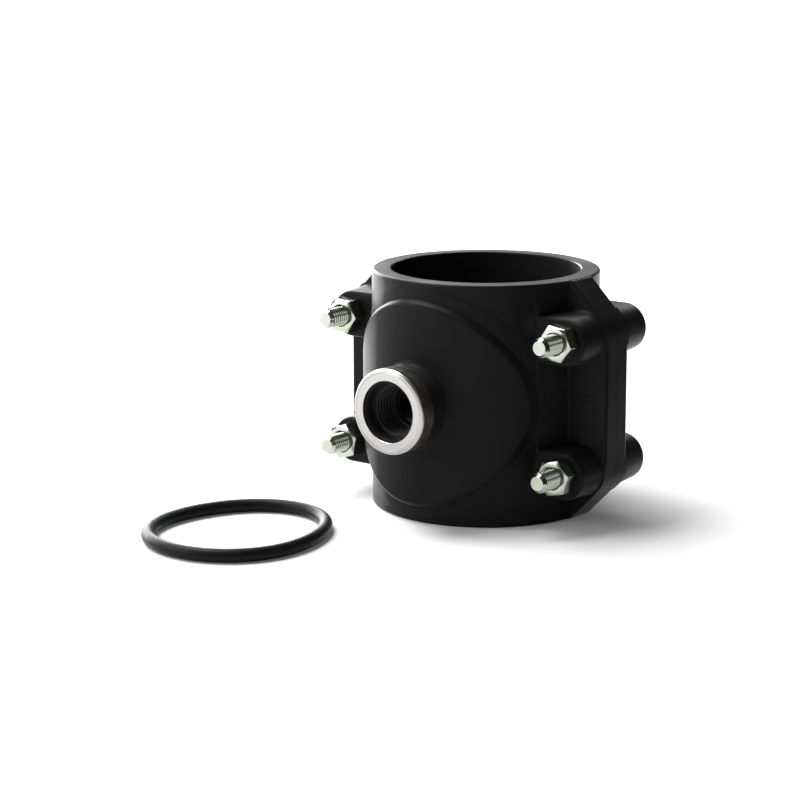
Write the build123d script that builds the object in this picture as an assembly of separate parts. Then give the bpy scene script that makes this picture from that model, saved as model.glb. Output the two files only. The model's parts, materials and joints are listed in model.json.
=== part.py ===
from build123d import *
import math
import os

# Clamp saddle for a plastic pipe, with a threaded branch outlet and a loose O-ring.
# Millimetres. The origin is where the branch axis crosses the pipe axis, halfway up.
# +Z runs along the pipe, -Y out of the branch, and X lies in the parting plane.

# Clamp shell
pipe_diameter = 75.0
wall = 7.5
height = 94.5
rim_round = 1.1
bore_chamfer = 0.4
parting_gap = 0.1

# Ears along both sides of the parting plane, with a bolt near each end
bolt_from_wall = 6.23
bolt_from_end = 21.25
ear_margin = 10.6
front_ear = 7.6
rear_ear = 7.9
ear_edge_round = 1.5
ear_drop = 0.4
web_round = 1.6

# Bosses that the bolts pass through
boss_radius = 9.2
boss_draft = 3.2
front_boss_face = 21.5
rear_boss_face = 23.1
front_boss_round = 1.3
rear_boss_round = 0.8
boss_root = 1.2

# Bolts and nuts, M8, with the threads left as plain cylinders
bolt_radius = 3.95
bolt_length = 55.0
bolt_tip_chamfer = 1.15
bolt_tip_length = 1.58
head_across_flats = 13.0
head_thickness = 5.3
head_seat = 16.9
nut_across_flats = 13.0
nut_thickness = 6.8
hex_chamfer_angle = 22.0
nut_countersink = 0.55
hole_clearance = 0.6
thread_clearance = 0.05
pocket_clearance = 0.6
nut_seat_gap = 0.05

# Round boss around the branch, a step on the wall around it, and the neck of the outlet
lens_radius = 40.2
lens_height = 3.6
lens_edge_round = 2.0
lens_root = 0.8
disc_radius = 45.3
disc_height = 0.4
neck_radius = 15.36
neck_root = 2.7

# Reinforcing ring, pressed over the neck
outlet_reach = 15.17
ring_radius = 16.66
ring_mouth = 11.93
ring_lip = 0.9
ring_length = 7.13
ring_edge_round = 1.7
ring_fit = 0.03

# Outlet, G 1/2, at the radius of the thread's crests
outlet_crest = 9.32
counterbore = 10.5
counterbore_depth = 3.2
mouth_chamfer = 0.8
thread_lead_in = 0.7
thread_depth = 14.0
passage = 8.6

# O-ring, and the groove for it in the bore
o_ring_section = 5.4
o_ring_radius = 34.27
o_ring_oval = 2.27
o_ring_egg = 0.72
groove_radius = 32.5
groove_side_play = 0.7
o_ring_squeeze = 1.5

# Where the loose O-ring lies on the floor, with the directions of its long axis and its blunt end
o_ring_x = -42.48
o_ring_y = -101.8
o_ring_turn = 96.9
o_ring_blunt_end = 88.4

# How the bolts and nuts were left: off the middle of their holes, back from the rest, and turned
bolt_side = {"upper_left": 0.15, "upper_right": 0.2, "lower_left": 0.3, "lower_right": -0.2}
bolt_lift = {"upper_left": 0.25, "upper_right": 0.55, "lower_left": 0.5, "lower_right": 0.55}
bolt_set_back = {"lower_left": 0.3}
nut_turn = {"upper_left": 55.3, "upper_right": 52.2, "lower_left": 18.0, "lower_right": 12.7}

# Sizes that follow from those above
bore_radius = pipe_diameter / 2
wall_radius = bore_radius + wall
lens_front = wall_radius + lens_height
half_height = height / 2
bolt_x = wall_radius + bolt_from_wall
bolt_z = half_height - bolt_from_end
ear_reach = bolt_x + ear_margin
ear_top = half_height - ear_drop
ring_face = lens_front + outlet_reach
neck_end = ring_face - ring_lip
hole_radius = bolt_radius + hole_clearance
beyond = 2 * height
corners = {
    "upper_left": (-bolt_x, bolt_z),
    "upper_right": (bolt_x, bolt_z),
    "lower_left": (-bolt_x, -bolt_z),
    "lower_right": (bolt_x, -bolt_z),
}


def along_y(radius, start, end):
    """Cylinder about the Y axis between two values of Y."""
    disc = Plane.XZ.offset(-start) * Circle(radius)
    return extrude(disc, start - end)


def along_z(radius):
    """Cylinder about the pipe axis, longer than anything it cuts."""
    return Cylinder(radius, beyond)


def front_of(y):
    """Everything in front of the plane at this Y."""
    return Pos(0, y - beyond / 2, 0) * Box(2 * beyond, beyond, 2 * beyond)


def clamp_wall():
    """Tube wall with rounded outer rims and chamfered inner rims."""
    profile = Pos(bore_radius + wall / 2, 0) * Rectangle(wall, height)
    outer = profile.vertices().filter_by(lambda v: v.X > bore_radius + wall / 2)
    profile = fillet(outer, rim_round)
    inner = profile.vertices().filter_by(lambda v: v.X < bore_radius + rim_round)
    profile = chamfer(inner, bore_chamfer)
    return revolve(Plane.XZ * profile, Axis.Z)


def ear_outline():
    """Outline of the right ear in X and Z, rounded about the two bolt axes."""
    corner_z = bolt_z + ear_margin * math.tan(math.radians(22.5))
    top_x = ear_reach + corner_z - ear_top
    points = [
        (bore_radius, -ear_top),
        (top_x, -ear_top),
        (ear_reach, -corner_z),
        (ear_reach, corner_z),
        (top_x, ear_top),
        (bore_radius, ear_top),
    ]
    outline = Polygon(*points, align=None)
    turns = outline.vertices().filter_by(lambda v: v.X > ear_reach - ear_edge_round / 2)
    return fillet(turns, ear_margin)


def ear_plate(thickness):
    """Right ear, rounded along the front edge of its outline."""
    plate = extrude(Plane.XZ * ear_outline(), thickness)
    front = plate.edges().filter_by(lambda e: abs(e.center().Y + thickness) < 0.01)
    rounded = front.filter_by(lambda e: e.center().X > wall_radius)
    return fillet(rounded, ear_edge_round)


def ear_web(thickness):
    """Fillet that runs down the corner between the wall and the right ear."""
    centre_y = thickness + web_round
    centre_x = math.sqrt((wall_radius + web_round) ** 2 - centre_y**2)
    share = wall_radius / (wall_radius + web_round)
    corner = Polygon(
        (centre_x * share, -centre_y * share),
        (centre_x, -centre_y),
        (centre_x, -thickness),
        (centre_x, -thickness / 2),
        (centre_x * share - web_round, -thickness / 2),
        align=None,
    )
    section = corner - Pos(centre_x, -centre_y) * Circle(web_round)
    return extrude(section, ear_top - ear_edge_round, both=True)


def boss_outline(radius):
    """Bolt boss as seen along its axis: a round end, with flats that run in to the wall."""
    inboard = bolt_x - bore_radius
    return Circle(radius) + Pos(-inboard / 2, 0) * Rectangle(inboard, 2 * radius)


def boss_radius_at(face, height):
    """Radius of a boss at a height above the parting plane: the draft widens it towards there."""
    return boss_radius + (face - height) * math.tan(math.radians(boss_draft))


def boss_block(face, edge_round):
    """Bolt boss about the Y axis, up to its seat, with draft and a rounded rim."""
    block = extrude(Plane.XZ * boss_outline(boss_radius_at(face, 0)), face, taper=boss_draft)
    rim = block.edges().filter_by(lambda e: abs(e.center().Y + face) < 0.01)
    rim = rim.filter_by(lambda e: e.center().X > bore_radius - bolt_x + edge_round)
    return fillet(rim, edge_round)


def boss_cove(thickness, face):
    """Hollow fillet round the foot of a boss; it carries the boss down into the ear's edge."""
    radius = boss_radius_at(face, thickness + boss_root)
    foot = Polygon(
        (radius - boss_root, thickness / 2),
        (radius + boss_root, thickness / 2),
        (radius + boss_root, thickness + boss_root),
        (radius, thickness + boss_root),
        (radius - boss_root, thickness + boss_root),
        align=None,
    )
    hollow = Pos(radius + boss_root, thickness + boss_root) * Circle(boss_root)
    section = foot - hollow
    round_end = revolve(Rot(180, 0, 0) * section, Axis.Y)
    upper = extrude(Plane.YZ * Rot(0, 0, 90) * section, bore_radius - bolt_x)
    return round_end + upper + mirror(upper, Plane.XY)


def half_shell(ear_thickness, boss_face, boss_round):
    """One clamp half on the -Y side: wall, ears and bosses, with no holes yet."""
    half = clamp_wall()
    right = ear_plate(ear_thickness) + ear_web(ear_thickness)
    footprint = extrude(Plane.XZ * ear_outline(), beyond)
    for z in (-bolt_z, bolt_z):
        at_bolt = Pos(bolt_x, 0, z)
        right += at_bolt * boss_block(boss_face, boss_round)
        right += (at_bolt * boss_cove(ear_thickness, boss_face)) & footprint
    half += right
    half += mirror(right, Plane.YZ)
    half &= front_of(-parting_gap / 2)
    return half - along_z(bore_radius)


def bolt_holes():
    """Clearance holes for the four bolts, right through."""
    hole = along_y(hole_radius, beyond, -beyond)
    return [Pos(x, 0, z) * hole for x, z in corners.values()]


def branch_boss():
    """Round boss that follows the pipe wall, the shallow step around it, and the neck."""
    lens = along_y(lens_radius, 0, -beyond) & along_z(lens_front)
    rim = lens.edges().filter_by(lambda e: e.center().Y < -parting_gap)
    lens = fillet(rim, lens_edge_round)
    neck = along_y(neck_radius, -bore_radius, -neck_end)
    boss = lens + neck
    root = boss.edges().filter_by(
        lambda e: e.bounding_box().max.X < neck_radius + 0.1
        and e.bounding_box().min.X > -neck_radius - 0.1
        and -lens_front - 0.1 < e.center().Y < -bore_radius
    )
    boss = fillet(root, neck_root)
    boss += along_y(disc_radius, -front_ear, -beyond) & along_z(wall_radius + disc_height)
    foot = boss.edges().filter_by(
        lambda e: abs(e.bounding_box().max.X - lens_radius) < 0.2
        and abs(e.bounding_box().max.Z - lens_radius) < 0.2
        and e.bounding_box().max.Y < -front_ear
        and e.bounding_box().min.Y > -wall_radius - disc_height - 0.1
    )
    return fillet(foot, lens_root)


def outlet_bore():
    """Space inside the branch: mouth, counterbore, thread bore and the passage behind."""
    thread_start = neck_end - counterbore_depth
    thread_end = thread_start - thread_depth
    points = [
        (0, -neck_end - ring_lip),
        (counterbore + mouth_chamfer, -neck_end - ring_lip),
        (counterbore + mouth_chamfer, -neck_end),
        (counterbore, -neck_end + mouth_chamfer),
        (counterbore, -thread_start),
        (outlet_crest, -thread_start + thread_lead_in),
        (outlet_crest, -thread_end),
        (passage, -thread_end + thread_lead_in),
        (passage, 0),
        (0, 0),
    ]
    return revolve(Polygon(*points, align=None), Axis.Y)


def o_ring_groove():
    """Groove in the bore around the branch, with a floor that follows the pipe."""
    half_width = o_ring_section / 2 + groove_side_play
    floor = bore_radius + o_ring_section - o_ring_squeeze
    tube = along_y(groove_radius + half_width, 0, -beyond)
    tube -= along_y(groove_radius - half_width, 0, -beyond)
    return tube & along_z(floor)


def saddle_body():
    """Front half with the branch."""
    body = half_shell(front_ear, front_boss_face, front_boss_round)
    body += branch_boss() & front_of(-front_ear)
    body -= along_z(bore_radius)
    body -= outlet_bore()
    body -= o_ring_groove()
    return body - bolt_holes()


def clamp_half():
    """Rear half, with a hexagonal pocket for each bolt head."""
    half = mirror(half_shell(rear_ear, rear_boss_face, rear_boss_round), Plane.XZ)
    flat = head_across_flats + 2 * pocket_clearance
    pocket = hexagon(flat, 0, head_seat, rear_boss_face + rear_boss_round)
    pockets = [Pos(x, 0, z) * pocket for x, z in corners.values()]
    return half - bolt_holes() - pockets


def reinforcing_ring():
    """Turned ring: a lip over the end of the neck and a skirt around it."""
    inside = neck_radius + ring_fit
    points = [
        (ring_mouth, -ring_face),
        (ring_radius, -ring_face),
        (ring_radius, -ring_face + ring_length),
        (inside, -ring_face + ring_length),
        (inside, -neck_end - ring_fit),
        (ring_mouth, -neck_end - ring_fit),
    ]
    profile = Polygon(*points, align=None)
    nose = profile.vertices().filter_by(lambda v: v.X > inside and v.Y < -neck_end)
    return revolve(fillet(nose, ring_edge_round), Axis.Y)


def hexagon(across_flats, turn, start, end):
    """Hexagonal prism about the Y axis between two values of Y."""
    outline = RegularPolygon(across_flats / 2, 6, major_radius=False, rotation=turn)
    return extrude(Plane.XZ.offset(-start) * outline, start - end)


def hex_chamfer(across_flats, start, end):
    """Turned blank about the Y axis that takes the corners off the end face of a hexagon."""
    corner = across_flats / math.sqrt(3)
    land = 0.455 * across_flats
    drop = (corner - land) * math.tan(math.radians(hex_chamfer_angle))
    inward = math.copysign(drop, start - end)
    points = [
        (0, start),
        (2 * corner, start),
        (2 * corner, end + inward + (2 * corner - corner) * inward / (corner - land)),
        (land, end),
        (0, end),
    ]
    return revolve(Polygon(*points, align=None), Axis.Y)


def hex_bolt():
    """Bolt with its head at the back and its end pointing at -Y."""
    tip = head_seat - bolt_length
    head_end = head_seat + head_thickness
    head = hexagon(head_across_flats, 0, head_seat, head_end)
    head &= hex_chamfer(head_across_flats, head_seat, head_end)
    points = [
        (0, head_seat + head_thickness / 2),
        (bolt_radius, head_seat + head_thickness / 2),
        (bolt_radius, tip + bolt_tip_length),
        (bolt_radius - bolt_tip_chamfer, tip),
        (0, tip),
    ]
    return head + revolve(Polygon(*points, align=None), Axis.Y)


def hex_nut(turn):
    """Nut on its seat, with both faces chamfered and a countersunk hole."""
    back = -front_boss_face - nut_seat_gap
    front = back - nut_thickness
    nut = hexagon(nut_across_flats, turn, back, front)
    nut &= hex_chamfer(nut_across_flats, back, front)
    nut &= hex_chamfer(nut_across_flats, front, back)
    inside = bolt_radius + thread_clearance
    points = [
        (0, back),
        (inside + nut_countersink, back),
        (inside, back - nut_countersink),
        (inside, front + nut_countersink),
        (inside + nut_countersink, front),
        (0, front),
    ]
    return nut - revolve(Polygon(*points, align=None), Axis.Y)


def o_ring_point(angle):
    """Point on the middle line of the loose O-ring, which lies a little out of round."""
    oval = o_ring_oval * math.cos(2 * math.radians(angle - o_ring_turn))
    egg = o_ring_egg * math.cos(3 * math.radians(angle - o_ring_blunt_end))
    radius = o_ring_radius + oval + egg
    turn = math.radians(angle)
    return (radius * math.cos(turn), radius * math.sin(turn))


def o_ring():
    """Loose O-ring: a round section swept along a closed curve."""
    middle = Spline(*[o_ring_point(15 * step) for step in range(24)], periodic=True)
    section = Plane(origin=middle @ 0, z_dir=middle % 0) * Circle(o_ring_section / 2)
    ring = sweep(section, middle)
    return Pos(o_ring_x, o_ring_y, o_ring_section / 2 - half_height) * ring


def write(name, shape):
    """Write one piece to its own file."""
    export_step(shape, f"parts/{name}.step")


os.makedirs("parts", exist_ok=True)
write("saddle_body", saddle_body())
write("clamp_half", clamp_half())
write("reinforcing_ring", reinforcing_ring())
write("o_ring", o_ring())
for place, (x, z) in corners.items():
    axis = Pos(x + bolt_side[place], 0, z + bolt_lift[place])
    write(f"bolt_{place}", axis * Pos(0, bolt_set_back.get(place, 0), 0) * hex_bolt())
    write(f"nut_{place}", axis * hex_nut(nut_turn[place]))
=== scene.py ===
# %% [markdown]
# # A tapping saddle in black plastic, zinc and steel
# A tapping saddle clamps round a plastic pipe and gives it a threaded side outlet. The solids come from a
# fixed frame, at their real size, in metres. This notebook gives them their finish and adds what is too fine
# for the solids: the threads, the turned face of the steel ring, the marks of the mould and the light.

# %% Load the frame
import math
import json

import bmesh
import bpy
from mathutils import Matrix, Vector


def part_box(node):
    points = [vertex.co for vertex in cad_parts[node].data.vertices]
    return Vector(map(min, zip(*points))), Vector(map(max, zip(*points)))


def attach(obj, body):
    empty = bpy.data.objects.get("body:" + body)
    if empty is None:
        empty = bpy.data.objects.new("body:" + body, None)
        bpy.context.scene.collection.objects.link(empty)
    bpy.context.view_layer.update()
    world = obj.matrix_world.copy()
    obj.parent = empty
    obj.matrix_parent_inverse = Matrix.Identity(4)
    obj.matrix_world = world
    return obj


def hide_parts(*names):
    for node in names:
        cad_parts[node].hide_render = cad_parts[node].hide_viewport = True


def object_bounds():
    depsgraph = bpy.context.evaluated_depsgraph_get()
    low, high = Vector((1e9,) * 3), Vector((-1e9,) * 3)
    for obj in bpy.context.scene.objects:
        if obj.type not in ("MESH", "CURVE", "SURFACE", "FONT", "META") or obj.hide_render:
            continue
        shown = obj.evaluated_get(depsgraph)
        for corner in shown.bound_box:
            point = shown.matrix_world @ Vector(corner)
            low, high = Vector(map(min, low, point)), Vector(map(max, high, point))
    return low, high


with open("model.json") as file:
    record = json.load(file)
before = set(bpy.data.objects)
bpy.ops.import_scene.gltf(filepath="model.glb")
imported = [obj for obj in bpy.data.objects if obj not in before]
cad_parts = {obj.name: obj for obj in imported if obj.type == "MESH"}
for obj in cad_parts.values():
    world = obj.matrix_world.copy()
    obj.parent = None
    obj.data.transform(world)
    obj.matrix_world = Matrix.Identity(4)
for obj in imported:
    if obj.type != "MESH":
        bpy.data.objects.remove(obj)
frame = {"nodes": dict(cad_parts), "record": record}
cad_low, cad_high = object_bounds()
MM = 0.001
floor_z = cad_low[2]
print("CAD box in mm:", [round(v / MM, 1) for v in cad_low], [round(v / MM, 1) for v in cad_high])

# %% [markdown]
# ## The camera
# The photograph was taken with a long lens from the right of the outlet, a little above it. The place, the
# turn and the lens were solved from the edges of the object, so they are plain numbers here: how far the
# camera stands off, how far it turns about Z, and how far it looks down.

# %% Camera
camera_place = Vector((0.54433, -0.76810, 0.20223))
camera_yaw = math.radians(37.393)
camera_pitch = math.radians(12.509)
camera_roll = math.radians(-0.150)

lens = bpy.data.cameras.new("camera")
lens.sensor_width = 36.0
lens.lens = 108.6
lens.clip_start = 0.01
lens.clip_end = 50.0
camera = bpy.data.objects.new("camera", lens)
bpy.context.scene.collection.objects.link(camera)
turn = Matrix.Rotation(camera_yaw, 4, "Z") @ Matrix.Rotation(math.pi / 2 - camera_pitch, 4, "X")
camera.matrix_world = Matrix.Translation(camera_place) @ turn @ Matrix.Rotation(camera_roll, 4, "Z")
bpy.context.scene.camera = camera
bpy.context.scene.view_settings.view_transform = "Standard"

# %% [markdown]
# ## Small helpers for node trees
# Every material below is built from the same few moves: add a node, set its values and link it. A few short
# helpers keep each material readable.


# %% Node helpers
def feed(tree, socket, value):
    """Link a value into a socket where it is a socket itself, and set it otherwise."""
    if isinstance(value, bpy.types.NodeSocket):
        tree.links.new(value, socket)
    else:
        socket.default_value = value


def add(tree, kind, **values):
    """Add a node and feed its sockets by name."""
    node = tree.nodes.new(kind)
    for key, value in values.items():
        feed(tree, node.inputs[key.replace("_", " ")], value)
    return node


def math_node(tree, operation, first, second):
    """A Math node; each operand is a socket or a number."""
    node = tree.nodes.new("ShaderNodeMath")
    node.operation = operation
    feed(tree, node.inputs[0], first)
    feed(tree, node.inputs[1], second)
    return node.outputs[0]


def blend_colors(tree, share, first, second):
    """Mix two colours by a mask; each colour is a socket or a plain tuple."""
    node = tree.nodes.new("ShaderNodeMix")
    node.data_type = "RGBA"
    tree.links.new(share, node.inputs[0])
    for socket, value in ((node.inputs[6], first), (node.inputs[7], second)):
        feed(tree, socket, value if isinstance(value, bpy.types.NodeSocket) else (*value, 1))
    return node.outputs[2]


def spread(tree, value, low, high, to_low=0.0, to_high=1.0):
    """Map a value from one range to another, clamped."""
    node = tree.nodes.new("ShaderNodeMapRange")
    tree.links.new(value, node.inputs[0])
    for socket, number in zip(node.inputs[1:5], (low, high, to_low, to_high)):
        socket.default_value = number
    return node.outputs[0]


def new_material(name):
    """An empty material with its tree and output node."""
    material = bpy.data.materials.new(name)
    material.use_nodes = True
    tree = material.node_tree
    tree.nodes.clear()
    output = tree.nodes.new("ShaderNodeOutputMaterial")
    return material, tree, output


def background_share(tree):
    """One for camera, glossy and transmission rays, so that metal shows the same background."""
    path = tree.nodes.new("ShaderNodeLightPath")
    seen = math_node(tree, "MAXIMUM", path.outputs["Is Camera Ray"], path.outputs["Is Glossy Ray"])
    return math_node(tree, "MAXIMUM", seen, path.outputs["Is Transmission Ray"])


# %% [markdown]
# ## The studio
# The saddle stands on a white sweep. Near it the floor is plain white paint, so it keeps the shadow; further
# out it turns into an even white background for the camera and for reflections only, which puts no more
# light on the object. A large lamp stands high on the left, others stand behind, at the left and in front,
# and a weak one fills the right. A black card on the right keeps that side of the object dark.

# %% Floor, world and lamps
SHADOW_AREA = 0.45
WHITE_FROM = 0.95
NEAR_GLOW = 0.07
FLOOR_PAINT = (0.82, 0.82, 0.82, 1)
FLOOR_SIZE = 8.0
ROOM_LIGHT = 0.08
WHITE = (1, 1, 1, 1)
CARD_BLACK = (0.01, 0.01, 0.01, 1)


def floor_material():
    """White paint near the object, and an even white further out."""
    material, tree, output = new_material("studio floor")
    place = tree.nodes.new("ShaderNodeTexCoord").outputs["Object"]
    reach = tree.nodes.new("ShaderNodeVectorMath")
    reach.operation = "LENGTH"
    tree.links.new(place, reach.inputs[0])
    far = spread(tree, reach.outputs["Value"], SHADOW_AREA, WHITE_FROM, NEAR_GLOW, 1.0)
    diffuse = add(tree, "ShaderNodeBsdfDiffuse", Color=FLOOR_PAINT)
    strength = math_node(tree, "MULTIPLY", background_share(tree), far)
    glow = add(tree, "ShaderNodeEmission", Strength=strength)
    both = tree.nodes.new("ShaderNodeAddShader")
    tree.links.new(diffuse.outputs[0], both.inputs[0])
    tree.links.new(glow.outputs[0], both.inputs[1])
    tree.links.new(both.outputs[0], output.inputs["Surface"])
    return material


bm = bmesh.new()
bmesh.ops.create_grid(bm, x_segments=1, y_segments=1, size=FLOOR_SIZE)
bmesh.ops.translate(bm, verts=bm.verts, vec=(0, 0, floor_z))
floor_mesh = bpy.data.meshes.new("floor")
bm.to_mesh(floor_mesh)
bm.free()
floor = bpy.data.objects.new("floor", floor_mesh)
bpy.context.scene.collection.objects.link(floor)
floor_mesh.materials.append(floor_material())

world = bpy.data.worlds.new("studio")
bpy.context.scene.world = world
world.use_nodes = True
tree = world.node_tree
tree.nodes.clear()
output = tree.nodes.new("ShaderNodeOutputWorld")
path = tree.nodes.new("ShaderNodeLightPath")
room = add(tree, "ShaderNodeBackground", Color=WHITE, Strength=ROOM_LIGHT)
white = add(tree, "ShaderNodeBackground", Color=WHITE, Strength=1.0)
mix = tree.nodes.new("ShaderNodeMixShader")
tree.links.new(path.outputs["Is Camera Ray"], mix.inputs[0])
tree.links.new(room.outputs[0], mix.inputs[1])
tree.links.new(white.outputs[0], mix.inputs[2])
tree.links.new(mix.outputs[0], output.inputs["Surface"])


def softbox(name, place, width, height, power):
    """A large soft lamp that points at the middle of the saddle."""
    lamp = bpy.data.lights.new(name, "AREA")
    lamp.shape = "RECTANGLE"
    lamp.size = width
    lamp.size_y = height
    lamp.energy = power
    box = bpy.data.objects.new(name, lamp)
    bpy.context.scene.collection.objects.link(box)
    look = (-Vector(place)).to_track_quat("-Z", "Y")
    box.matrix_world = Matrix.Translation(place) @ look.to_matrix().to_4x4()
    box.visible_camera = False


softbox("key", (-0.66, -0.16, 1.40), 0.9, 0.9, 31)
softbox("back", (-0.60, 1.20, 1.10), 1.3, 0.9, 9)
softbox("left panel", (-1.20, 0.35, 0.36), 1.4, 0.7, 26)
softbox("front panel", (-0.80, -1.00, 0.50), 0.8, 0.7, 9)
softbox("low fill", (0.55, -1.30, 0.45), 0.6, 0.5, 1)


def black_card(corner_a, corner_b, height):
    """Upright black card that only reflections see, as a studio uses to keep one side dark."""
    bm = bmesh.new()
    bmesh.ops.create_grid(bm, x_segments=1, y_segments=1, size=0.5)
    a = Vector((*corner_a, floor_z))
    b = Vector((*corner_b, floor_z))
    for vert in bm.verts:
        vert.co = a.lerp(b, vert.co.x + 0.5) + Vector((0, 0, height * (vert.co.y + 0.5)))
    mesh = bpy.data.meshes.new("black card")
    bm.to_mesh(mesh)
    bm.free()
    card = bpy.data.objects.new("black_card", mesh)
    bpy.context.scene.collection.objects.link(card)
    material, tree, output = new_material("black card")
    black = add(tree, "ShaderNodeBsdfDiffuse", Color=CARD_BLACK)
    tree.links.new(black.outputs[0], output.inputs["Surface"])
    mesh.materials.append(material)
    card.visible_camera = False
    card.visible_diffuse = False
    card.visible_shadow = False


black_card((0.14, -0.10), (0.20, 0.60), 0.5)

# %% [markdown]
# ## Shared surface effects
# Moulded plastic, rubber and plated steel all have a fine grain and a few marks from handling. Two node
# groups make these once, from Object coordinates: a grain that only bends the normal, and a mask of thin
# scratches with soft smudges. The materials decide how strongly they use them.


# %% Node groups
SCRATCH_TURNS = ((0.5, 0.3), (1.4, -0.9), (-0.4, 2.1))
SCRATCH_STRETCH = (1400.0, 40.0, 1400.0)


def grain_group():
    """Fine grain as a normal, and slow cloudy variation as a value."""
    group = bpy.data.node_groups.new("grain", "ShaderNodeTree")
    face = group.interface
    for name, usual in (("Fine Scale", 2600.0), ("Cloud Scale", 55.0), ("Height", 0.00002)):
        face.new_socket(name, in_out="INPUT", socket_type="NodeSocketFloat").default_value = usual
    face.new_socket("Cloud", in_out="OUTPUT", socket_type="NodeSocketFloat")
    face.new_socket("Normal", in_out="OUTPUT", socket_type="NodeSocketVector")
    start = group.nodes.new("NodeGroupInput")
    end = group.nodes.new("NodeGroupOutput")
    place = group.nodes.new("ShaderNodeTexCoord").outputs["Object"]
    fine = add(group, "ShaderNodeTexNoise", Vector=place, Scale=start.outputs["Fine Scale"], Detail=3.0)
    cloud = add(group, "ShaderNodeTexNoise", Vector=place, Scale=start.outputs["Cloud Scale"], Detail=4.0)
    bump = add(group, "ShaderNodeBump", Strength=1.0, Distance=start.outputs["Height"])
    group.links.new(fine.outputs[0], bump.inputs["Height"])
    group.links.new(spread(group, cloud.outputs[0], 0.32, 0.68), end.inputs["Cloud"])
    group.links.new(bump.outputs[0], end.inputs["Normal"])
    return group


def marks_group():
    """Mask of thin straight scratches and of dull smudges."""
    group = bpy.data.node_groups.new("handling marks", "ShaderNodeTree")
    group.interface.new_socket("Scratches", in_out="OUTPUT", socket_type="NodeSocketFloat")
    group.interface.new_socket("Smudges", in_out="OUTPUT", socket_type="NodeSocketFloat")
    end = group.nodes.new("NodeGroupOutput")
    place = group.nodes.new("ShaderNodeTexCoord").outputs["Object"]
    total = None
    for turn_x, turn_z in SCRATCH_TURNS:
        turned = add(group, "ShaderNodeMapping", Vector=place)
        turned.inputs["Rotation"].default_value = (turn_x, 0.2, turn_z)
        turned.inputs["Scale"].default_value = SCRATCH_STRETCH
        lines = add(group, "ShaderNodeTexNoise", Vector=turned.outputs[0], Scale=1.0, Detail=1.0)
        thin = spread(group, lines.outputs[0], 0.74, 0.80)
        total = thin if total is None else math_node(group, "MAXIMUM", total, thin)
    where = add(group, "ShaderNodeTexNoise", Vector=place, Scale=70.0, Detail=2.0)
    patch = spread(group, where.outputs[0], 0.52, 0.66)
    group.links.new(math_node(group, "MULTIPLY", total, patch), end.inputs["Scratches"])
    smudge = add(group, "ShaderNodeTexNoise", Vector=place, Scale=32.0, Detail=5.0)
    group.links.new(spread(group, smudge.outputs[0], 0.5, 0.7), end.inputs["Smudges"])
    return group


grain = grain_group()
marks = marks_group()


def use_group(tree, group, **values):
    """Place a node group and set its inputs by name."""
    node = tree.nodes.new("ShaderNodeGroup")
    node.node_tree = group
    for key, value in values.items():
        node.inputs[key.replace("_", " ")].default_value = value
    return node


# %% [markdown]
# ## Black plastic
# Polypropylene leaves the mould with a satin skin. Its reflection is weak face on and strong at a glancing
# angle, so flat faces stay nearly black while rims and rounded edges shine. A fine grain scatters the
# highlights, slow clouds vary the gloss, and a little dust lies on what faces up.


# %% Plastic and rubber
DUST_COLOR = (0.16, 0.155, 0.145)
SCRATCH_COLOR = (0.07, 0.07, 0.07)
# Painted highlight on the crests of the outlet's thread.
CREST_HIGHLIGHT_COLOR = (0.075, 0.072, 0.07)
EDGE_FROM = 0.54
EDGE_FULL = 0.94


def dark_moulding(name, color, roughness, facing_gloss, edge_gloss, height, dust):
    """Black moulded material with grain, handling marks, a little dust and a painted highlight on thread
    crests.
    """
    material, tree, output = new_material(name)
    skin = use_group(tree, grain, Height=height)
    wear = use_group(tree, marks)
    up = tree.nodes.new("ShaderNodeSeparateXYZ")
    tree.links.new(tree.nodes.new("ShaderNodeNewGeometry").outputs["Normal"], up.inputs[0])
    facing_up = spread(tree, up.outputs["Z"], 0.5, 1.0)
    dusty = math_node(tree, "MULTIPLY", facing_up, wear.outputs["Smudges"])
    dusty = math_node(tree, "MULTIPLY", dusty, dust)
    base = blend_colors(tree, dusty, color, DUST_COLOR)
    scratched = math_node(tree, "MULTIPLY", wear.outputs["Scratches"], 0.35)
    base = blend_colors(tree, scratched, base, SCRATCH_COLOR)
    # Painted highlight: the colour lightens on the crests of the outlet's thread, by a value stored on each
    # point.
    crest = tree.nodes.new("ShaderNodeAttribute")
    crest.attribute_name = "painted_crest_highlight"
    base = blend_colors(tree, crest.outputs["Fac"], base, CREST_HIGHLIGHT_COLOR)
    gloss = spread(tree, skin.outputs["Cloud"], 0.0, 1.0, roughness - 0.03, roughness + 0.05)
    smudged = math_node(tree, "MULTIPLY", wear.outputs["Smudges"], 0.06)
    shader = add(tree, "ShaderNodeBsdfPrincipled", Base_Color=base, Normal=skin.outputs["Normal"])
    tree.links.new(math_node(tree, "ADD", gloss, smudged), shader.inputs["Roughness"])
    facing = tree.nodes.new("ShaderNodeLayerWeight").outputs["Facing"]
    gloss_level = spread(tree, facing, EDGE_FROM, EDGE_FULL, facing_gloss, edge_gloss)
    tree.links.new(gloss_level, shader.inputs["Specular IOR Level"])
    tree.links.new(shader.outputs[0], output.inputs["Surface"])
    return material


plastic = dark_moulding(
    "black polypropylene",
    color=(0.0110, 0.0110, 0.0115),
    roughness=0.37,
    facing_gloss=0.05,
    edge_gloss=0.85,
    height=0.000015,
    dust=0.25,
)
rubber = dark_moulding(
    "black rubber",
    color=(0.007, 0.007, 0.008),
    roughness=0.42,
    facing_gloss=0.10,
    edge_gloss=0.60,
    height=0.00001,
    dust=0.15,
)
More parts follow.
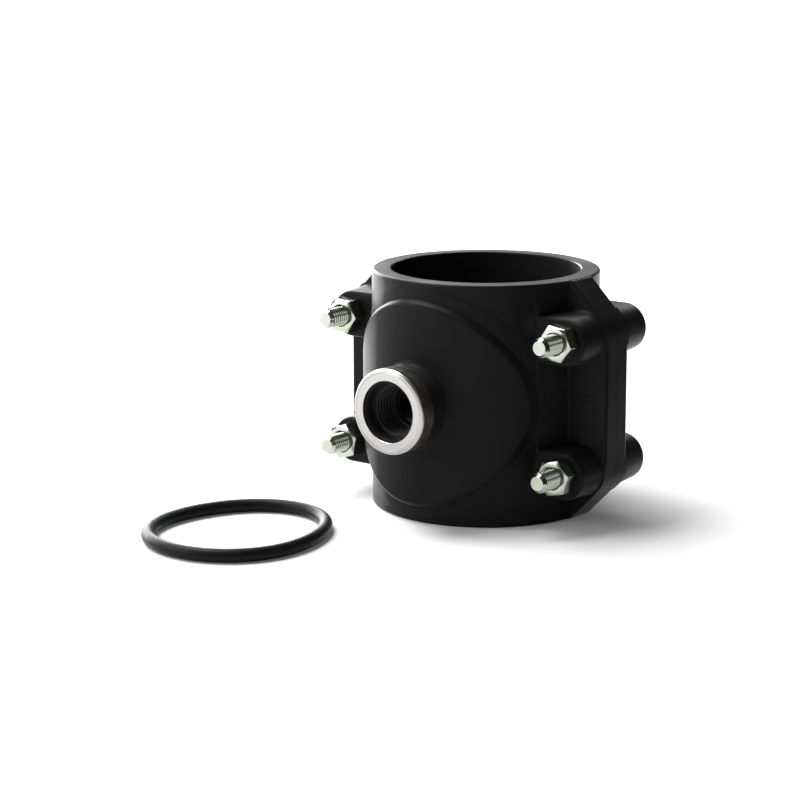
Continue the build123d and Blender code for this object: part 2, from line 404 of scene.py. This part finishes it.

# %% [markdown]
# ## Bright zinc and turned steel
# The bolts and nuts are bright zinc: a pale metal with a faint yellow-green passivation and tiny dull
# patches, with painted shade in the roots of the bolts' threads. The ring on the outlet was turned from
# stainless steel. Its face keeps the fine circles of the tool, drawn here from the distance to the outlet's
# axis. Its skirt is rougher, and painted shade makes its colour dark and brown-grey.


# %% Metals
ZINC_PALE = (0.45, 0.49, 0.46)
ZINC_YELLOW = (0.44, 0.47, 0.36)
# Painted shade for the roots of the bolts' threads.
ZINC_GROOVE_SHADE = (0.055, 0.055, 0.04)
ZINC_DULL = (0.30, 0.32, 0.30)
STEEL_FACE = (0.44, 0.435, 0.415)
# Painted shade of the ring's skirt, from its darkest to its lightest.
SKIRT_SHADE_DARK = (0.085, 0.075, 0.066)
SKIRT_SHADE_LIGHT = (0.20, 0.18, 0.16)
TOOL_CIRCLES = 6500.0


def zinc_material():
    """Bright zinc plating with a faint passivation tint, and painted shade in the roots of the bolts'
    threads.
    """
    material, tree, output = new_material("bright zinc")
    skin = use_group(tree, grain, Fine_Scale=3600.0, Cloud_Scale=190.0, Height=0.000003)
    wear = use_group(tree, marks)
    tint = blend_colors(tree, skin.outputs["Cloud"], ZINC_PALE, ZINC_YELLOW)
    # Painted shade: the colour darkens towards the roots of the bolts' threads, by a value stored on each
    # point.
    groove_shade = tree.nodes.new("ShaderNodeAttribute")
    groove_shade.attribute_name = "painted_groove_shade"
    tint = blend_colors(tree, groove_shade.outputs["Fac"], tint, ZINC_GROOVE_SHADE)
    darker_tone = math_node(tree, "MULTIPLY", wear.outputs["Smudges"], 0.35)
    tint = blend_colors(tree, darker_tone, tint, ZINC_DULL)
    gloss = spread(tree, skin.outputs["Cloud"], 0.0, 1.0, 0.13, 0.22)
    shader = add(tree, "ShaderNodeBsdfPrincipled", Base_Color=tint, Roughness=gloss, Metallic=1.0)
    tree.links.new(skin.outputs["Normal"], shader.inputs["Normal"])
    tree.links.new(shader.outputs[0], output.inputs["Surface"])
    return material


def steel_material(face_y):
    """Turned steel: a bright face with tool circles, and a rougher grainy skirt painted dark as shade."""
    material, tree, output = new_material("turned stainless steel")
    skin = use_group(tree, grain, Fine_Scale=3000.0, Cloud_Scale=240.0, Height=0.00004)
    place = tree.nodes.new("ShaderNodeTexCoord").outputs["Object"]
    parts = tree.nodes.new("ShaderNodeSeparateXYZ")
    tree.links.new(place, parts.inputs[0])
    flat = tree.nodes.new("ShaderNodeCombineXYZ")
    tree.links.new(parts.outputs["X"], flat.inputs[0])
    tree.links.new(parts.outputs["Z"], flat.inputs[1])
    reach = tree.nodes.new("ShaderNodeVectorMath")
    reach.operation = "LENGTH"
    tree.links.new(flat.outputs[0], reach.inputs[0])
    circles = tree.nodes.new("ShaderNodeTexNoise")
    circles.noise_dimensions = "1D"
    tree.links.new(math_node(tree, "MULTIPLY", reach.outputs["Value"], TOOL_CIRCLES), circles.inputs["W"])
    circles.inputs["Scale"].default_value = 1.0
    bump = add(tree, "ShaderNodeBump", Strength=0.5, Distance=0.00002)
    tree.links.new(circles.outputs[0], bump.inputs["Height"])
    on_skirt = spread(tree, parts.outputs["Y"], face_y + 0.7 * MM, face_y + 1.3 * MM)
    # Painted shade: the skirt's colour is darkened towards brown-grey; its roughness is raised as well.
    darker_tone = blend_colors(tree, skin.outputs["Cloud"], SKIRT_SHADE_DARK, SKIRT_SHADE_LIGHT)
    base = blend_colors(tree, on_skirt, STEEL_FACE, darker_tone)
    gloss = spread(tree, on_skirt, 0.0, 1.0, 0.30, 0.48)
    bend = tree.nodes.new("ShaderNodeMix")
    bend.data_type = "VECTOR"
    tree.links.new(on_skirt, bend.inputs[0])
    tree.links.new(bump.outputs[0], bend.inputs[4])
    tree.links.new(skin.outputs["Normal"], bend.inputs[5])
    shader = add(tree, "ShaderNodeBsdfPrincipled", Base_Color=base, Roughness=gloss, Metallic=1.0)
    tree.links.new(bend.outputs[1], shader.inputs["Normal"])
    tree.links.new(shader.outputs[0], output.inputs["Surface"])
    return material


ring_low, ring_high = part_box("reinforcing_ring")
zinc = zinc_material()
steel = steel_material(ring_low[1])

# %% [markdown]
# ## A grid that becomes a solid
# The bolts, the nuts, the ring and the O-ring are all closed skins around an axis or a curve. One grid
# operator makes their faces, a function says where each point goes, and merging the seam closes the skin.


# %% Grid skins
CORNER_SHARPNESS = 90
FACING_SIDE = 0.3


def warp_grid(bm, rows, columns, place):
    """Add a grid and move each point to place(row, column); the last column meets the first."""
    made = bmesh.ops.create_grid(bm, x_segments=columns, y_segments=rows, size=0.5)["verts"]
    for vert in made:
        column = round((vert.co.x + 0.5) * columns)
        row = round((vert.co.y + 0.5) * rows)
        vert.co = place(row, column % columns)
    bmesh.ops.remove_doubles(bm, verts=made, dist=1e-7)
    return [vert for vert in made if vert.is_valid]


def spin(profile, columns, centre_x=0, centre_z=0):
    """Closed skin about an axis along Y; profile(angle) lists its radii and places along the axis."""
    rings = [profile(2 * math.pi * i / columns) for i in range(columns)]

    def place(row, column):
        radius, y = rings[column][row]
        return about_y(centre_x, centre_z, radius, 2 * math.pi * column / columns, y)

    bm = bmesh.new()
    warp_grid(bm, len(rings[0]) - 1, columns, place)
    return bm


def finish_piece(name, bm, material, body, replaced, sharp_angle):
    """Turn a bmesh into a smooth piece with sharp edges that rides on a body."""
    bmesh.ops.recalc_face_normals(bm, faces=bm.faces)
    mesh = bpy.data.meshes.new(name)
    bm.to_mesh(mesh)
    bm.free()
    mesh.shade_smooth()
    mesh.set_sharp_from_angle(angle=math.radians(sharp_angle))
    mesh.materials.append(material)
    piece = bpy.data.objects.new(name, mesh)
    bpy.context.scene.collection.objects.link(piece)
    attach(piece, body)
    for node in replaced:
        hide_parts(node)
    print(name, "faces", len(mesh.polygons))
    return piece


def mark_points(piece, name, share):
    """Store a number on each point of a piece, for its material to read."""
    attribute = piece.data.attributes.new(name, "FLOAT", "POINT")
    for index, vert in enumerate(piece.data.vertices):
        attribute.data[index].value = share(vert.co)


def body_of(node):
    """The body that a node belongs to."""
    for name, nodes in frame["record"]["behaviour"]["bodies"].items():
        if node in nodes:
            return name
    return None


def limited(value):
    """A value kept between 0 and 1."""
    return min(max(value, 0.0), 1.0)


def thread_depth(y, angle, pitch, crest, flank):
    """Depth of a thread, from 0 on its crest to 1 in its root; it moves one pitch along each turn."""
    phase = (y / pitch + angle / (2 * math.pi)) % 1.0
    off_crest = abs(phase - 0.5) * 2
    return limited((off_crest - crest) / flank)


def about_y(centre_x, centre_z, radius, angle, y):
    """Point at a radius and an angle from +X towards +Z about an axis along Y."""
    return Vector((centre_x + radius * math.cos(angle), y, centre_z + radius * math.sin(angle)))


def hex_radius(apothem, angle, corner):
    """Radius of a hexagon with slightly rounded corners, by a soft minimum of its six sides."""
    total = 0.0
    for side in range(6):
        off = math.cos(angle - corner - math.radians(30 + 60 * side))
        if off > FACING_SIDE:
            total += (off / apothem) ** CORNER_SHARPNESS
    return total ** (-1 / CORNER_SHARPNESS)


def corner_angle(node, centre_x, centre_z):
    """Angle of a corner of a hexagonal node, measured on its own mesh."""
    mesh = frame["nodes"][node].data
    far = max(mesh.vertices, key=lambda v: math.hypot(v.co.x - centre_x, v.co.z - centre_z))
    return math.atan2(far.co.z - centre_z, far.co.x - centre_x)


# %% [markdown]
# ## The bolts
# An M8 bolt has a thread with a pitch of 1.25 mm, rolled on its last 22 mm. The thread is a height field:
# the radius at a point follows a V that moves one pitch along for each turn. The tip is chamfered before
# the thread is rolled, so the thread dies away there, and it also fades out towards the plain shank.

# %% Bolts
PITCH = 1.25 * MM
CREST = 3.95 * MM
ROOT = 3.28 * MM
SHANK = 3.94 * MM
THREAD_LENGTH = 22 * MM
THREAD_FADE = 1.6 * MM
TIP_FLAT = 2.75 * MM
TIP_LENGTH = 1.5 * MM
HEAD_HEIGHT = 5.3 * MM
FLATS = 13.0 * MM
LAND = 0.455 * FLATS
CHAMFER = math.tan(math.radians(22))
CREST_SHARE = 0.14
FLANK_SHARE = 0.66
ROWS_PER_PITCH = 12
THREAD_OVERRUN = 0.2 * MM
SHANK_START = 0.3 * MM
NECK_ROUND = 0.35 * MM
EDGE_BREAK = 0.1 * MM
LAND_BREAK = 0.12 * MM
LAND_DROP = 0.04 * MM
CORNER_RISE = 0.03 * MM
DISH_EDGE = 4.6 * MM
DISH_FLOOR = 4.3 * MM
DISH_DEPTH = 0.12 * MM
# Painted shade in the thread roots: how strongly, and from what depth, the zinc's colour is darkened.
GROOVE_SHADE_GAIN = 1.5
GROOVE_SHADE_START = 0.35
BOLT_COLUMNS = 72


def thread_radius(y, angle, tip):
    """Radius of the bolt's thread, with the chamfer of the tip and the run-out."""
    fade = limited((tip + THREAD_LENGTH - y) / THREAD_FADE)
    depth = thread_depth(y, angle, PITCH, CREST_SHARE, FLANK_SHARE)
    radius = CREST - (CREST - ROOT) * depth * fade
    cone = TIP_FLAT + (y - tip) / TIP_LENGTH * (CREST - TIP_FLAT)
    return min(radius, cone)


def make_bolt(node):
    """One bolt with its thread, shank and head, in place of its plain solid."""
    low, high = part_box(node)
    x = (low[0] + high[0]) / 2
    z = (low[2] + high[2]) / 2
    tip = low[1]
    end = high[1]
    seat = end - HEAD_HEIGHT
    corner = corner_angle(node, x, z)
    step = PITCH / ROWS_PER_PITCH
    thread_rows = [tip + step * i for i in range(int((THREAD_LENGTH + THREAD_OVERRUN) / step) + 1)]

    def profile(angle):
        wide = hex_radius(FLATS / 2, angle, corner)
        drop = (wide - LAND) * CHAMFER
        points = [(0, tip)]
        points += [(thread_radius(y, angle, tip), y) for y in thread_rows]
        points += [(SHANK, thread_rows[-1] + SHANK_START), (SHANK, seat - NECK_ROUND)]
        points += [(SHANK + EDGE_BREAK, seat - EDGE_BREAK), (SHANK + NECK_ROUND, seat)]
        points += [(LAND, seat), (wide - EDGE_BREAK, seat), (wide, seat + EDGE_BREAK)]
        points += [(wide, end - drop - LAND_BREAK), (wide - LAND_BREAK, end - drop + CORNER_RISE)]
        points += [(LAND + LAND_BREAK, end - LAND_DROP), (LAND - LAND_BREAK, end), (DISH_EDGE, end)]
        points += [(DISH_FLOOR, end - DISH_DEPTH), (0, end - DISH_DEPTH)]
        return points

    bm = spin(profile, BOLT_COLUMNS, x, z)
    piece = finish_piece("threaded_" + node, bm, zinc, body_of(node), [node], 38)

    # Painted shade: how deep each point lies in the thread, stored for the zinc material to darken its
    # colour.
    def groove_shade(spot):
        depth = (CREST - math.hypot(spot.x - x, spot.z - z)) / (CREST - ROOT)
        in_thread = tip + TIP_LENGTH < spot.y < tip + THREAD_LENGTH
        return limited(depth * GROOVE_SHADE_GAIN - GROOVE_SHADE_START) if in_thread else 0.0

    mark_points(piece, "painted_groove_shade", groove_shade)


# %% [markdown]
# ## The nuts
# A nut is a hexagon whose corners were taken off by a turned cone at both faces, with a countersunk hole. For
# each direction around the axis the cone meets the flat at its own height, which draws the curved edge that
# every real nut has. The hole stays plain and just clears the bolt's crests, so a nut turns freely.


# %% Nuts
NUT_HOLE = 4.0 * MM
NUT_SINK = 0.55 * MM
CORNER_BREAK = 0.14 * MM
NUT_COLUMNS = 144


def make_nut(node):
    """One nut in place of its plain solid, at the angle at which it was left."""
    low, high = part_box(node)
    x = (low[0] + high[0]) / 2
    z = (low[2] + high[2]) / 2
    front, back = low[1], high[1]
    corner = corner_angle(node, x, z)

    def profile(angle):
        wide = hex_radius(FLATS / 2, angle, corner)
        drop = (wide - LAND) * CHAMFER
        points = [(NUT_HOLE, back - NUT_SINK), (NUT_HOLE, front + NUT_SINK), (NUT_HOLE + NUT_SINK, front)]
        points += [(LAND - LAND_BREAK, front), (LAND + LAND_BREAK, front + LAND_DROP)]
        points += [(wide - CORNER_BREAK, front + drop - LAND_DROP), (wide, front + drop + CORNER_BREAK)]
        points += [(wide, back - drop - CORNER_BREAK), (wide - CORNER_BREAK, back - drop + LAND_DROP)]
        points += [(LAND + LAND_BREAK, back - LAND_DROP), (LAND - LAND_BREAK, back)]
        points += [(NUT_HOLE + NUT_SINK, back), (NUT_HOLE, back - NUT_SINK)]
        return points

    bm = spin(profile, NUT_COLUMNS, x, z)
    finish_piece("finished_" + node, bm, zinc, body_of(node), [node], 24)


for name in list(frame["nodes"]):
    if name.startswith("bolt_"):
        make_bolt(name)
    if name.startswith("nut_"):
        make_nut(name)

# %% [markdown]
# ## The steel ring
# The ring is one profile spun about the outlet's axis. A shallow groove near the rim of its face, a finer
# one round its skirt and a broken inner edge are turned into the profile itself, because they catch light.


# %% Reinforcing ring
RING_MOUTH = 11.93 * MM
RING_LIP = 0.93 * MM
RING_INSIDE = 15.39 * MM
RING_EDGE = 1.25 * MM
EDGE_STEPS = 12
MOUTH_BREAK = 0.12 * MM
MOUTH_BREAK_DEPTH = 0.15 * MM
FACE_GROOVE = (0.42 * MM, 0.30 * MM, 0.16 * MM)
FACE_GROOVE_DEPTH = 0.12 * MM
FACE_GROOVE_LIP = 0.02 * MM
SKIRT_GROOVE = (3.2 * MM, 3.28 * MM, 3.36 * MM)
SKIRT_GROOVE_DEPTH = 0.05 * MM
END_BREAK = 0.15 * MM
END_BREAK_LENGTH = 0.2 * MM
RING_COLUMNS = 192


def make_ring():
    """Turned ring in place of its plain solid."""
    face = ring_low[1]
    end = ring_high[1]
    outer = (ring_high[0] - ring_low[0]) / 2
    flat = outer - RING_EDGE
    points = [(RING_INSIDE, end), (RING_INSIDE, face + RING_LIP), (RING_MOUTH, face + RING_LIP)]
    points += [(RING_MOUTH, face + MOUTH_BREAK_DEPTH), (RING_MOUTH + MOUTH_BREAK, face)]
    points += [(flat - FACE_GROOVE[0], face), (flat - FACE_GROOVE[1], face + FACE_GROOVE_DEPTH)]
    points += [(flat - FACE_GROOVE[2], face + FACE_GROOVE_LIP)]
    for step in range(EDGE_STEPS + 1):
        around = math.radians(90 / EDGE_STEPS * step)
        points.append((flat + RING_EDGE * math.sin(around), face + RING_EDGE - RING_EDGE * math.cos(around)))
    points += [(outer, face + SKIRT_GROOVE[0]), (outer - SKIRT_GROOVE_DEPTH, face + SKIRT_GROOVE[1])]
    points += [(outer, face + SKIRT_GROOVE[2]), (outer, end - END_BREAK_LENGTH)]
    points += [(outer - END_BREAK, end), (RING_INSIDE, end)]
    bm = spin(lambda angle: points, RING_COLUMNS)
    finish_piece("turned_ring", bm, steel, "saddle", ["reinforcing_ring"], 28)


make_ring()

# %% [markdown]
# ## The O-ring
# The loose O-ring lies a little out of round: a circle with a slow oval and an egg shape added to its
# radius. Its round section carries the fine seam where the two halves of its mould met.

# %% O-ring
O_RING_CORD = 2.7 * MM
O_RING_PLACE = (-42.48 * MM, -101.8 * MM)
O_RING_MIDDLE = 34.27
OVAL = 2.27
OVAL_TURN = math.radians(96.9)
EGG = 0.72
EGG_TURN = math.radians(88.4)
SEAM = 0.035 * MM
SEAM_WIDTH = 1.8
SEAM_ANGLES = (1.2, 2.4, 358.8, 357.6, 181.2, 182.4, 178.8, 177.6)
SECTION_STEPS = 44
O_RING_COLUMNS = 240


def o_ring_radius(angle):
    """Radius of the ring's middle line, in metres, as in the solid."""
    oval = OVAL * math.cos(2 * (angle - OVAL_TURN))
    egg = EGG * math.cos(3 * (angle - EGG_TURN))
    return (O_RING_MIDDLE + oval + egg) * MM


def make_o_ring():
    """O-ring swept along its own curve, in place of its plain solid."""
    low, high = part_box("o_ring")
    centre = Vector((*O_RING_PLACE, (low[2] + high[2]) / 2))
    section = [360 * step / SECTION_STEPS for step in range(SECTION_STEPS)]
    section = sorted(section + list(SEAM_ANGLES))

    def middle(angle):
        radius = o_ring_radius(angle)
        return Vector((radius * math.cos(angle), radius * math.sin(angle), 0))

    def place(row, column):
        angle = 2 * math.pi * column / O_RING_COLUMNS
        along = (middle(angle + 0.001) - middle(angle - 0.001)).normalized()
        out = along.cross(Vector((0, 0, 1)))
        turned = math.radians(section[row % len(section)])
        off_seam = abs(((math.degrees(turned) + 90) % 180) - 90)
        radius = O_RING_CORD + SEAM * max(0.0, 1 - off_seam / SEAM_WIDTH) - SEAM
        rise = Vector((0, 0, radius * math.sin(turned)))
        return centre + middle(angle) + out * radius * math.cos(turned) + rise

    bm = bmesh.new()
    warp_grid(bm, len(section), O_RING_COLUMNS, place)
    finish_piece("moulded_o_ring", bm, rubber, "saddle", ["o_ring"], 60)


make_o_ring()

# %% [markdown]
# ## The outlet's thread
# The solid has a plain bore at the crests of its G 1/2 thread. A copy of the front half is merged, its plain
# bore is taken out, and a threaded sleeve is joined in its place: again a height field, now cut outwards
# from the crests, with a pitch of 1.814 mm. A lead-in opens it at the front, and it fades out at the back.

# %% Front half with its thread
G_PITCH = 1.814 * MM
G_CREST = 9.32 * MM
G_ROOT = 10.44 * MM
BORE_FRONT = -59.67 * MM
BORE_BACK = -44.97 * MM
BORE_MIDDLE = -50 * MM
STEP_RADIUS = 10.5 * MM
PASSAGE = 8.6 * MM
G_CREST_SHARE = 0.12
G_FLANK_SHARE = 0.7
G_RUN_OUT = 1.6 * MM
G_FADE = 2.0 * MM
LEAD_IN_SLOPE = 1.6
LEAD_IN_GAP = 0.03 * MM
RUN_IN_SLOPE = 1.03
SLEEVE_GAP = 0.05 * MM
MARGIN = 0.02 * MM


def outlet_radius(y, angle):
    """Radius of the outlet's thread between its two ends."""
    depth = thread_depth(y, angle, G_PITCH, G_CREST_SHARE, G_FLANK_SHARE)
    depth = depth * depth * (3 - 2 * depth)
    fade = limited((BORE_BACK - G_RUN_OUT - y) / G_FADE)
    thread = G_CREST + (G_ROOT - G_CREST) * depth * fade
    lead_in = STEP_RADIUS - LEAD_IN_GAP - (y - BORE_FRONT - SLEEVE_GAP) * LEAD_IN_SLOPE
    narrow = PASSAGE + SLEEVE_GAP + max(0.0, BORE_BACK - y) * RUN_IN_SLOPE
    return min(max(thread, lead_in), narrow)


def front_and_back(edges):
    """The edges at the front end of the bore, and those at its back end."""
    front = [e for e in edges if e.verts[0].co.y < BORE_MIDDLE]
    back = [e for e in edges if e.verts[0].co.y >= BORE_MIDDLE]
    return front, back


def make_front_half():
    """Copy of the front half with a threaded bore."""
    bm = bmesh.new()
    bm.from_mesh(frame["nodes"]["saddle_body"].data)
    bmesh.ops.remove_doubles(bm, verts=bm.verts, dist=1e-7)
    plain = []
    for face in bm.faces:
        spots = [v.co for v in face.verts]
        deep = all(BORE_FRONT - MARGIN < p.y < BORE_BACK + MARGIN for p in spots)
        if deep and all(math.hypot(p.x, p.z) < STEP_RADIUS + MARGIN for p in spots):
            plain.append(face)
    bmesh.ops.delete(bm, geom=plain, context="FACES")
    front_loop, back_loop = front_and_back([e for e in bm.edges if e.is_boundary])
    print("plain bore faces", len(plain), "openings", len(front_loop), len(back_loop))
    rows = 104
    columns = 128
    start = BORE_FRONT + SLEEVE_GAP
    end = BORE_BACK - SLEEVE_GAP

    def place(row, column):
        y = start + (end - start) * row / rows
        angle = 2 * math.pi * column / columns
        return about_y(0, 0, outlet_radius(y, angle), angle, y)

    sleeve = set(warp_grid(bm, rows, columns, place))
    ends = [e for e in bm.edges if e.is_boundary and e.verts[0] in sleeve and e.verts[1] in sleeve]
    sleeve_front, sleeve_back = front_and_back(ends)
    bmesh.ops.bridge_loops(bm, edges=front_loop + sleeve_front)
    bmesh.ops.bridge_loops(bm, edges=back_loop + sleeve_back)
    print("open edges left", sum(1 for e in bm.edges if not e.is_manifold))
    piece = finish_piece("front_half", bm, plastic, "saddle", ["saddle_body"], 24)

    # Painted highlight: how near each point lies to the thread's crest, stored for the plastic to lighten its
    # colour.
    def crest(spot):
        depth = (math.hypot(spot.x, spot.z) - G_CREST) / (G_ROOT - G_CREST)
        in_thread = BORE_FRONT + 0.4 * MM < spot.y < BORE_BACK - 1.5 * MM and -0.2 < depth < 1.0
        return 0.8 * limited(1 - depth * 3.0) if in_thread else 0.0

    mark_points(piece, "painted_crest_highlight", crest)
    smooth = piece.modifiers.new("weighted normals", "WEIGHTED_NORMAL")
    smooth.keep_sharp = True


make_front_half()

# %% [markdown]
# ## The mould's date dial
# Many moulds hold a small dial insert that leaves a ring of plain ticks on the part. Here it sits in the
# middle of the right ear's front face, about a quarter of a millimetre proud. Each tick is a small block
# with rounded edges, turned about the middle of the dial.

# %% Date dial
EAR_FACE = -7.6 * MM
DIAL_CENTRE = Vector((53.68 * MM, EAR_FACE, -0.08 * MM))
DIAL_TICKS = 12
TICK_SIZE = (1.4 * MM, 0.5 * MM, 0.5 * MM)
TICK_REACH = 3.55 * MM
HUB_RADIUS = 2.1 * MM
HUB_THICKNESS = 0.4 * MM
DIAL_ROUND = 0.1 * MM


def make_dial():
    """Ring of twelve plain ticks and a round centre on the right ear."""
    bm = bmesh.new()
    for index in range(DIAL_TICKS):
        block = bmesh.ops.create_cube(bm, size=1.0)["verts"]
        bmesh.ops.scale(bm, verts=block, vec=TICK_SIZE)
        bmesh.ops.translate(bm, verts=block, vec=(TICK_REACH, 0, 0))
        around = Matrix.Rotation(2 * math.pi * index / DIAL_TICKS, 3, "Y")
        bmesh.ops.rotate(bm, verts=block, cent=(0, 0, 0), matrix=around)
    middle = bmesh.ops.create_cone(
        bm, segments=32, radius1=HUB_RADIUS, radius2=HUB_RADIUS, depth=HUB_THICKNESS, cap_ends=True
    )["verts"]
    bmesh.ops.rotate(bm, verts=middle, cent=(0, 0, 0), matrix=Matrix.Rotation(math.pi / 2, 3, "X"))
    round_edges = [e for e in bm.edges if e.calc_face_angle(0) > 1.0]
    bmesh.ops.bevel(
        bm, geom=round_edges, offset=DIAL_ROUND, affect="EDGES", segments=2, profile=0.5, material=-1
    )
    bmesh.ops.translate(bm, verts=bm.verts, vec=DIAL_CENTRE)
    finish_piece("date_dial", bm, plastic, "saddle", [], 40)


make_dial()

# %% Materials of the solids that stay
finish_of = {"clamp_half": plastic, "saddle_body": plastic, "o_ring": rubber, "reinforcing_ring": steel}
for name, node in frame["nodes"].items():
    node.data.materials.clear()
    node.data.materials.append(finish_of.get(name, zinc))
